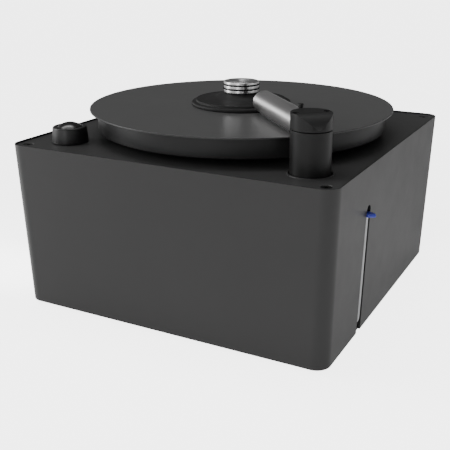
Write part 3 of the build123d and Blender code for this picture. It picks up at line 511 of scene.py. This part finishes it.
# control knob ---------------------------------------------------------------------------------
K0, K1 = 159.0, 173.7
prof = fil([(3.03, 164), (9.5, 164), (9.5, K0), (17.3, K0, 0.45), (15.9, K1, 1.5), (12.4, K1, 0.4), (11.9, K1 - 0.5), (11.9, K1 - 2.2), (3.03, K1 - 2.2)], 7)
finish_piece("control_knob_piece", lathe_bm(prof, *KNOB, seg=160), "knob", "control_knob", ("control_knob",), sharp=38)
DOME_R, DOME_Z, DOME_H = 11.5, K1 - 0.45, 4.5
ds = (DOME_R ** 2 + DOME_H ** 2) / (2 * DOME_H)
da = atan2(DOME_R, ds - DOME_H)
dome = [(0, K1 - 2.15), (11.85, K1 - 2.15), (11.85, K1 - 0.8), (DOME_R + 0.1, DOME_Z - 0.02)]
dome += [(ds * sin(da * (1 - t / 20)), DOME_Z + DOME_H - ds * (1 - cos(da * (1 - t / 20)))) for t in range(20)] + [(0, DOME_Z + DOME_H)]
finish_piece("knob_insert_piece", lathe_bm(dome, *KNOB, seg=128, closed=False), "gloss", "control_knob", ("knob_insert",), sharp=50)

# arm -------------------------------------------------------------------------------------
A = TR(POST[0], POST[1], 0, ARM)
prof = fil([(6.6, 118.0), (10.0, 118.0, 0.4), (10.0, 150.0), (POST_R, 150.0, 0.6), (POST_R, SPLIT - 0.25, 0.4), (6.6, SPLIT - 0.25)], 4)
post = raw("arm_post_piece", lathe_bm(prof, seg=160, axis=A))
XR = Matrix.Rotation(pi / 2, 4, "Y")
bore = lambda: raw("c", lathe_bm([(0, -1), (8.0, -1), (8.0, 30), (0, 30)], seg=64, closed=False, axis=A @ Matrix.Translation((0, 0, TUBE_Z * MM)) @ XR))
cut = [bore()]
for s in (-1, 1):
    cut.append(raw("c", lathe_bm([(0, 184), (1.55, 184), (1.55, 200), (0, 200)], seg=32, closed=False, axis=A @ Matrix.Translation((0, s * CAP_Y * MM, 0)))))
boolean(post, cut)
prof = fil([(0, SPLIT + 0.25), (POST_R, SPLIT + 0.25, 0.4), (POST_R, POST_TOP, 0.45), (0, POST_TOP)], 4, closed=False)
cap = raw("arm_cap_piece", lathe_bm(prof, seg=160, closed=False, axis=A))
cut = [bore()]
# side away from the tube: a round from the top face down into the wall
cr, cz = 13.0, 196.5
a1 = atan2(POST_TOP - cz, sqrt(cr ** 2 - (POST_TOP - cz) ** 2))
w = [(-(POST_R - cr + cr * cos(a1 * (1 - i / 40))), cz + cr * sin(a1 * (1 - i / 40))) for i in range(41)]
w[-1] = (-POST_R - 0.01, cz)
w += [(-POST_R - 12, cz), (-POST_R - 12, POST_TOP + 3), (w[0][0], POST_TOP + 3)]
bm = bmesh.new()
a_ = [bm.verts.new(A @ Vector((x * MM, -0.04, z * MM))) for x, z in w]
b_ = [bm.verts.new(A @ Vector((x * MM, 0.04, z * MM))) for x, z in w]
loft(bm, [a_, b_], close=False)
bm.faces.new(list(reversed(a_)))
bm.faces.new(b_)
cut.append(raw("c", bm))
for s in (-1, 1):
    cut.append(raw("c", lathe_bm([(0, 190), (1.65, 190), (1.65, POST_TOP - 3), (2.95, POST_TOP - 3), (2.95, POST_TOP - 0.2), (3.2, POST_TOP + 0.2), (3.2, 215), (0, 215)], seg=48, closed=False,
                                 axis=A @ Matrix.Translation((0, s * CAP_Y * MM, 0)))))
boolean(cap, cut)
for o, node_ in ((post, "arm_post"), (cap, "arm_cap")):
    for p in o.data.polygons:
        p.use_smooth = True
    o.data.set_sharp_from_angle(angle=radians(28))
    o.data.materials.clear()
    o.data.materials.append(M["anod"])
    if o is cap:
        # the round cut gets a lighter copy of the black anodised, painted light so that it looks lit
        o.data.materials.append(M["anod_lit_copy"])
        back = A.inverted()
        for p in o.data.polygons:
            c = back @ p.center
            if c.x / MM < -5.0 and abs(sqrt((c.x / MM + POST_R - cr) ** 2 + (c.z / MM - cz) ** 2) - cr) < 0.08 and sqrt(c.x ** 2 + c.y ** 2) / MM < POST_R - 0.05:
                p.material_index = 1
    o.modifiers.new("normals", "WEIGHTED_NORMAL").keep_sharp = True
    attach(o, "arm")
    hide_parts(node_)
bm = bmesh.new()
for s in (-1, 1):
    socket_screw(bm, A @ Matrix.Translation((0, s * CAP_Y * MM, (POST_TOP - 0.5) * MM)) @ Matrix.Rotation(0.4 * s, 4, "Z"), 2.6, 2.45, 1.5, 22.9, 2.5, 1.7, False, chamf=0.3)
finish_piece("arm_cap_screws_piece", bm, "screw", "arm", ("arm_cap_screws",))

bm = bmesh.new()
TX = A @ Matrix.Translation((0, 0, TUBE_Z * MM)) @ XR
prof = fil([(8.0, 12.0), (TUBE_R, 12.0), (TUBE_R, TUBE_END, 0.45), (8.0, TUBE_END, 0.3)], 4)
tube = raw("arm_tube_piece", lathe_bm(prof, seg=160, axis=TX))
cut = [raw("c", prism(circle(POST_R + 0.1, 96), 180, 220, A))]
sl = fil([(36, -2.0, 1.9), (TUBE_END - 7, -2.0, 1.9), (TUBE_END - 7, 2.0, 1.9), (36, 2.0, 1.9)], 6)
cut.append(raw("c", prism(sl, 182, 192, A)))
cut.append(raw("c", prism(circle(1.45, 32), 200, 215, A @ Matrix.Translation((LOCK_X * MM, 0, 0)))))
cut.append(raw("c", prism(circle(2.4, 48), TUBE_Z + 10.3, 215, A @ Matrix.Translation((LOCK_X * MM, 0, 0)))))
boolean(tube, cut)
for p in tube.data.polygons:
    p.use_smooth = True
tube.data.set_sharp_from_angle(angle=radians(28))
tube.data.materials.clear()
tube.data.materials.append(M["alu_tube"])
tube.modifiers.new("normals", "WEIGHTED_NORMAL").keep_sharp = True
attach(tube, "arm")
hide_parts("arm_tube")

bm = bmesh.new()
prof = fil([(0, 202.5), (1.25, 202.5), (1.25, TUBE_Z + 10.32), (1.9, TUBE_Z + 10.32, 0.2), (1.9, TUBE_Z + 12.6, 0.1), (2.45, TUBE_Z + 12.6, 0.4), (2.45, TUBE_Z + 16.0, 1.25), (0, TUBE_Z + 16.0)], 6, closed=False)
lathe_bm(prof, seg=64, closed=False, bm=bm, axis=A @ Matrix.Translation((LOCK_X * MM, 0, 0)))
finish_piece("arm_lock_screw_piece", bm, "anod", "arm", ("arm_lock_screw",), sharp=45)

# hose and plug in the slot --------------------------------------------------------------------
ax = lambda z: CASE_W / 2 - inset(z) - 3.05
H1, H0 = 112.8, 10.5


def sweep_tube(bm, path, r, n=32, bore=None):
    """Tube along a list of points in the y = SLOT_Y plane, mm."""
    rings_o, rings_i = [], []
    for k, P in enumerate(path):
        a = Vector(path[max(0, k - 1)])
        b = Vector(path[min(len(path) - 1, k + 1)])
        t = (b - a).normalized()
        nrm = Vector((t.z, 0, -t.x)).normalized()
        bi = Vector((0, 1, 0))
        for rr, store in ((r, rings_o), (bore, rings_i)):
            if rr:
                store.append([bm.verts.new((Vector(P) + nrm * rr * cos(2 * pi * i / n) + bi * rr * sin(2 * pi * i / n)) * MM) for i in range(n)])
    loft(bm, rings_o + list(reversed(rings_i)), close=True)


path = []
corner = Vector((ax(H0), SLOT_Y, H0))
up = (Vector((ax(H1), SLOT_Y, H1)) - corner).normalized()
inn = Vector((-1, 0, 0))
ang = up.angle(inn)
t = 8.0 / tan(ang / 2)
c = corner + (up + inn).normalized() * (8.0 / sin(ang / 2))
for k in range(24):
    path.append(tuple(Vector((ax(H1), SLOT_Y, H1)).lerp(corner + up * t, k / 24)))
p0, p1 = corner + up * t - c, corner + inn * t - c
for k in range(17):
    s0, s1 = atan2(p0.z, p0.x), atan2(p1.z, p1.x)
    d = (s1 - s0 + pi) % (2 * pi) - pi
    s = s0 + d * k / 16
    path.append((c.x + 8.0 * cos(s), SLOT_Y, c.z + 8.0 * sin(s)))
path.append((131.0, SLOT_Y, H0))
bm = bmesh.new()
sweep_tube(bm, path, 3.0, 40, 2.05)
finish_piece("drain_hose_piece", bm, "hose", "chassis", ("drain_hose",), sharp=50)

# plug: a lobed oval grip pressed on a short stem
bm = bmesh.new()
n = 96
levels = [(0.0, 0.82), (0.18, 0.91), (0.55, 0.98), (1.1, 1.0), (1.75, 0.965), (2.4, 0.975), (2.95, 0.90), (3.3, 0.76), (3.47, 0.60)]
loops = []
for dz, k in levels:
    lp = []
    for i in range(n):
        a = 2 * pi * i / n
        lobe = 1 - 0.075 * (0.5 - 0.5 * cos(5 * a)) - 0.03 * (0.5 - 0.5 * cos(2 * a + dz * 1.3))
        rx = (8.3 - (1 - k) * 5.0) * lobe
        ry = (4.6 - (1 - k) * 4.0) * lobe
        lp.append(bm.verts.new(((157.2 + rx * cos(a)) * MM, (SLOT_Y + ry * sin(a)) * MM, (113.0 + dz * 0.97) * MM)))
    loops.append(lp)
loft(bm, loops, close=False)
bm.faces.new(list(reversed(loops[0])))
bm.faces.new(loops[-1])
lathe_bm([(0, -3.7), (1.6, -3.7), (1.85, -3.3), (1.85, 0.6), (0, 0.6)], seg=32, closed=False, bm=bm,
         axis=Matrix.Translation((ax(H1) * MM, SLOT_Y * MM, H1 * MM)) @ Matrix.Rotation(LEAN, 4, "Y"))
finish_piece("drain_plug_piece", bm, "blue", "drain_plug", ("drain_plug",), sharp=50)

# materials of the CAD nodes that stay ------------------------------------------------------------
KEEP = {
    "corner_blocks": "alu", "base_tray": "plate", "base_screws": "screw", "rubber_feet": "rubber", "foot_screws": "steel", "exhaust_grille": "plastic",
    "mains_inlet": "plastic", "inlet_pins": "brass", "waste_tank": "tank", "tank_lid": "tank", "hose_channel": "plastic", "suction_hose": "rubber",
    "vacuum_duct": "plastic", "vacuum_mount_ring": "rubber", "vacuum_motor_housing": "zinc", "fan_housing": "zinc", "vacuum_impeller": "alu",
    "gearbox_housing": "alu", "gearbox_cover": "alu", "gear_motor": "zinc", "output_gear": "acetal", "layshaft_gear": "acetal", "motor_pinion": "brass",
    "platter_bearing": "brass", "drive_shaft": "steel", "platter_hub": "alu", "hub_screws": "screw", "clamp_pad": "felt", "clamp_ring": "steel",
    "rotary_switch_body": "plastic", "switch_nut": "brass", "switch_shaft": "steel", "control_board": "board", "board_standoffs": "brass", "board_parts": "plastic",
    "arm_bearing_housing": "alu", "arm_bearing_bush": "brass", "arm_lift_sleeve": "steel", "arm_lift_spring": "steel", "tube_spigot": "plastic",
    "arm_tube_plug": "plastic", "arm_pads": "velvet",
}
for n_, mt in KEEP.items():
    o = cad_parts[n_]
    if not o.material_slots:
        o.data.materials.append(M[mt])
    for s in o.material_slots:
        s.material = M[mt]

# floor, world and lights --------------------------------------------------------------------------
WALLS = 0.095
CEIL0, CEIL1, CEIL = 50.0, 76.0, 0.38
ZENITH = 0.55
# heading, half width, lowest, highest, level, softness across, softness upwards
PANELS = [(-135.0, 62.0, -4.0, 26.0, 0.85, 10.0, 10.0), (-158.0, 9.0, -8.0, 36.0, 4.2, 7.0, 8.0), (-87.0, 6.0, -8.0, 36.0, 3.0, 5.0, 8.0),
          (198.0, 15.0, -20.0, 40.0, 2.2, 8.0, 8.0), (15.0, 9.0, -8.0, 40.0, 0.80, 7.0, 10.0), (156.0, 8.0, -4.0, 10.0, 2.5, 6.0, 6.0), (15.0, 30.0, -20.0, 30.0, 0.04, 10.0, 12.0)]
# overhead strip: heading it leans to, lean, half depth, sideways centre, half width, softness, level
STRIP = (117.6, 76.0, 7.5, 16.0, 26.0, 5.0, 4.1)
# light on the floor round the product: level, and the share of it behind, between two headings
FLOOR_POOL = (0.9, 203.0, 13.0, 8.0)
FLOOR_GLOW, FLOOR_BEHIND, FLOOR_SEEN = 0.46, (0.0, 110.0, 62.0, 15.0), 3.6
bm = bmesh.new()
S = 30.0
q = [bm.verts.new(p) for p in ((-S, -S, 0), (S, -S, 0), (S, S, 0), (-S, S, 0))]
bm.faces.new(q)
floor = raw("floor", bm)
fm = bpy.data.materials.new("floor_pale")
fm.use_nodes = True
nt = fm.node_tree
b = nt.nodes["Principled BSDF"]
b.inputs["Roughness"].default_value = 0.9
b.inputs["Specular IOR Level"].default_value = 0.0
nz = nt.nodes.new("ShaderNodeTexNoise")
nz.inputs["Scale"].default_value = 3.0
mx = nt.nodes.new("ShaderNodeMix")
mx.data_type = "RGBA"
mx.inputs["A"].default_value = (0.90, 0.90, 0.90, 1)
mx.inputs["B"].default_value = (0.92, 0.92, 0.92, 1)
nt.links.new(nz.outputs["Fac"], mx.inputs["Factor"])
nt.links.new(mx.outputs["Result"], b.inputs["Base Color"])
seen = nt.nodes.new("ShaderNodeLightPath")
glow = nt.nodes.new("ShaderNodeMath")
glow.operation = "MULTIPLY_ADD"
nt.links.new(seen.outputs["Is Camera Ray"], glow.inputs[0])
glow.inputs[1].default_value = FLOOR_SEEN
where = nt.nodes.new("ShaderNodeTexCoord")
wx = nt.nodes.new("ShaderNodeSeparateXYZ")
nt.links.new(where.outputs["Object"], wx.inputs["Vector"])


def fmath(op, a, b_):
    n = nt.nodes.new("ShaderNodeMath")
    n.operation = op
    for i, v in enumerate((a, b_)):
        if isinstance(v, (int, float)):
            n.inputs[i].default_value = v
        else:
            nt.links.new(v, n.inputs[i])
    return n.outputs[0]


share, heading, half, soft = FLOOR_BEHIND
ca, sa = cos(radians(heading)), sin(radians(heading))
fu = fmath("ADD", fmath("MULTIPLY", wx.outputs["X"], ca), fmath("MULTIPLY", wx.outputs["Y"], sa))
fv = fmath("ADD", fmath("MULTIPLY", wx.outputs["X"], -sa), fmath("MULTIPLY", wx.outputs["Y"], ca))
off = fmath("ABSOLUTE", fmath("ARCTAN2", fv, fu), 0.0)
fr = nt.nodes.new("ShaderNodeMapRange")
fr.interpolation_type = "SMOOTHSTEP"
fr.inputs["From Min"].default_value, fr.inputs["From Max"].default_value = radians(half - soft), radians(half + soft)
fr.inputs["To Min"].default_value, fr.inputs["To Max"].default_value = share * FLOOR_GLOW, FLOOR_GLOW
nt.links.new(off, fr.inputs["Value"])
pool, heading, half, soft = FLOOR_POOL
ca, sa = cos(radians(heading)), sin(radians(heading))
fu = fmath("ADD", fmath("MULTIPLY", wx.outputs["X"], ca), fmath("MULTIPLY", wx.outputs["Y"], sa))
fv = fmath("ADD", fmath("MULTIPLY", wx.outputs["X"], -sa), fmath("MULTIPLY", wx.outputs["Y"], ca))
off = fmath("ABSOLUTE", fmath("ARCTAN2", fv, fu), 0.0)
fp = nt.nodes.new("ShaderNodeMapRange")
fp.interpolation_type = "SMOOTHSTEP"
fp.inputs["From Min"].default_value, fp.inputs["From Max"].default_value = radians(half - soft), radians(half + soft)
fp.inputs["To Min"].default_value, fp.inputs["To Max"].default_value = pool, 0.0
nt.links.new(off, fp.inputs["Value"])
nt.links.new(fmath("ADD", fr.outputs["Result"], fp.outputs["Result"]), glow.inputs[2])
b.inputs["Emission Color"].default_value = (1, 1, 1, 1)
nt.links.new(glow.outputs[0], b.inputs["Emission Strength"])
floor.data.materials.append(fm)

# studio: a bright ceiling, a broad panel to the front left, a narrower one to the right and dim walls behind;
# the camera itself sees plain white
world = bpy.data.worlds.new("studio")
bpy.context.scene.world = world
world.use_nodes = True
nt = world.node_tree
N, L = nt.nodes, nt.links
bg = N["Background"]
bg.inputs["Strength"].default_value = 1.0


def wmath(op, a, b=None, c=None):
    n = N.new("ShaderNodeMath")
    n.operation = op
    for i, v in enumerate((a, b, c)):
        if v is None:
            continue
        if isinstance(v, (int, float)):
            n.inputs[i].default_value = v
        else:
            L.new(v, n.inputs[i])
    return n.outputs[0]


def step(v, lo, hi):
    """0 below lo, 1 above hi, smooth between."""
    n = N.new("ShaderNodeMapRange")
    n.interpolation_type = "SMOOTHSTEP"
    n.inputs["From Min"].default_value, n.inputs["From Max"].default_value = lo, hi
    L.new(v, n.inputs["Value"])
    return n.outputs["Result"]


wc = N.new("ShaderNodeTexCoord")
xyz = N.new("ShaderNodeSeparateXYZ")
L.new(wc.outputs["Generated"], xyz.inputs["Vector"])
el = wmath("MULTIPLY", wmath("ARCSINE", xyz.outputs["Z"]), 180 / pi)


def panel(az, half, el0, el1, level, soft=8.0, soft_el=8.0):
    """Soft-edged panel centred on heading az, degrees from +X towards +Y."""
    ca, sa = cos(radians(az)), sin(radians(az))
    u = wmath("ADD", wmath("MULTIPLY", xyz.outputs["X"], ca), wmath("MULTIPLY", xyz.outputs["Y"], sa))
    v = wmath("ADD", wmath("MULTIPLY", xyz.outputs["X"], -sa), wmath("MULTIPLY", xyz.outputs["Y"], ca))
    off = wmath("MULTIPLY", wmath("ABSOLUTE", wmath("ARCTAN2", v, u)), 180 / pi)
    m = wmath("SUBTRACT", 1.0, step(off, half - soft, half + soft))
    m = wmath("MULTIPLY", m, step(el, el0 - soft_el, el0 + soft_el))
    m = wmath("MULTIPLY", m, wmath("SUBTRACT", 1.0, step(el, el1 - soft_el, el1 + soft_el)))
    return wmath("MULTIPLY", m, level)


total = wmath("ADD", WALLS, wmath("MULTIPLY", step(el, CEIL0, CEIL1), CEIL))
total = wmath("ADD", total, wmath("MULTIPLY", step(el, 64.0, 78.0), ZENITH))
for args in PANELS:
    total = wmath("ADD", total, panel(*args))
ca, sa = cos(radians(STRIP[0])), sin(radians(STRIP[0]))
ahead = wmath("ADD", wmath("MULTIPLY", xyz.outputs["X"], ca), wmath("MULTIPLY", xyz.outputs["Y"], sa))
aside = wmath("ADD", wmath("MULTIPLY", xyz.outputs["X"], -sa), wmath("MULTIPLY", xyz.outputs["Y"], ca))
lean = wmath("MULTIPLY", wmath("ARCTAN2", xyz.outputs["Z"], ahead), 180 / pi)
tilt = wmath("MULTIPLY", wmath("ARCSINE", aside), 180 / pi)
m = wmath("SUBTRACT", 1.0, step(wmath("ABSOLUTE", wmath("SUBTRACT", lean, STRIP[1])), STRIP[2] - STRIP[5], STRIP[2] + STRIP[5]))
m = wmath("MULTIPLY", m, wmath("SUBTRACT", 1.0, step(wmath("ABSOLUTE", wmath("SUBTRACT", tilt, STRIP[3])), STRIP[4] - 2 * STRIP[5], STRIP[4] + 2 * STRIP[5])))
total = wmath("ADD", total, wmath("MULTIPLY", m, STRIP[6]))
lp = N.new("ShaderNodeLightPath")
pick = N.new("ShaderNodeMix")
L.new(lp.outputs["Is Camera Ray"], pick.inputs["Factor"])
L.new(total, pick.inputs["A"])
pick.inputs["B"].default_value = 3.2
L.new(pick.outputs["Result"], bg.inputs["Color"])
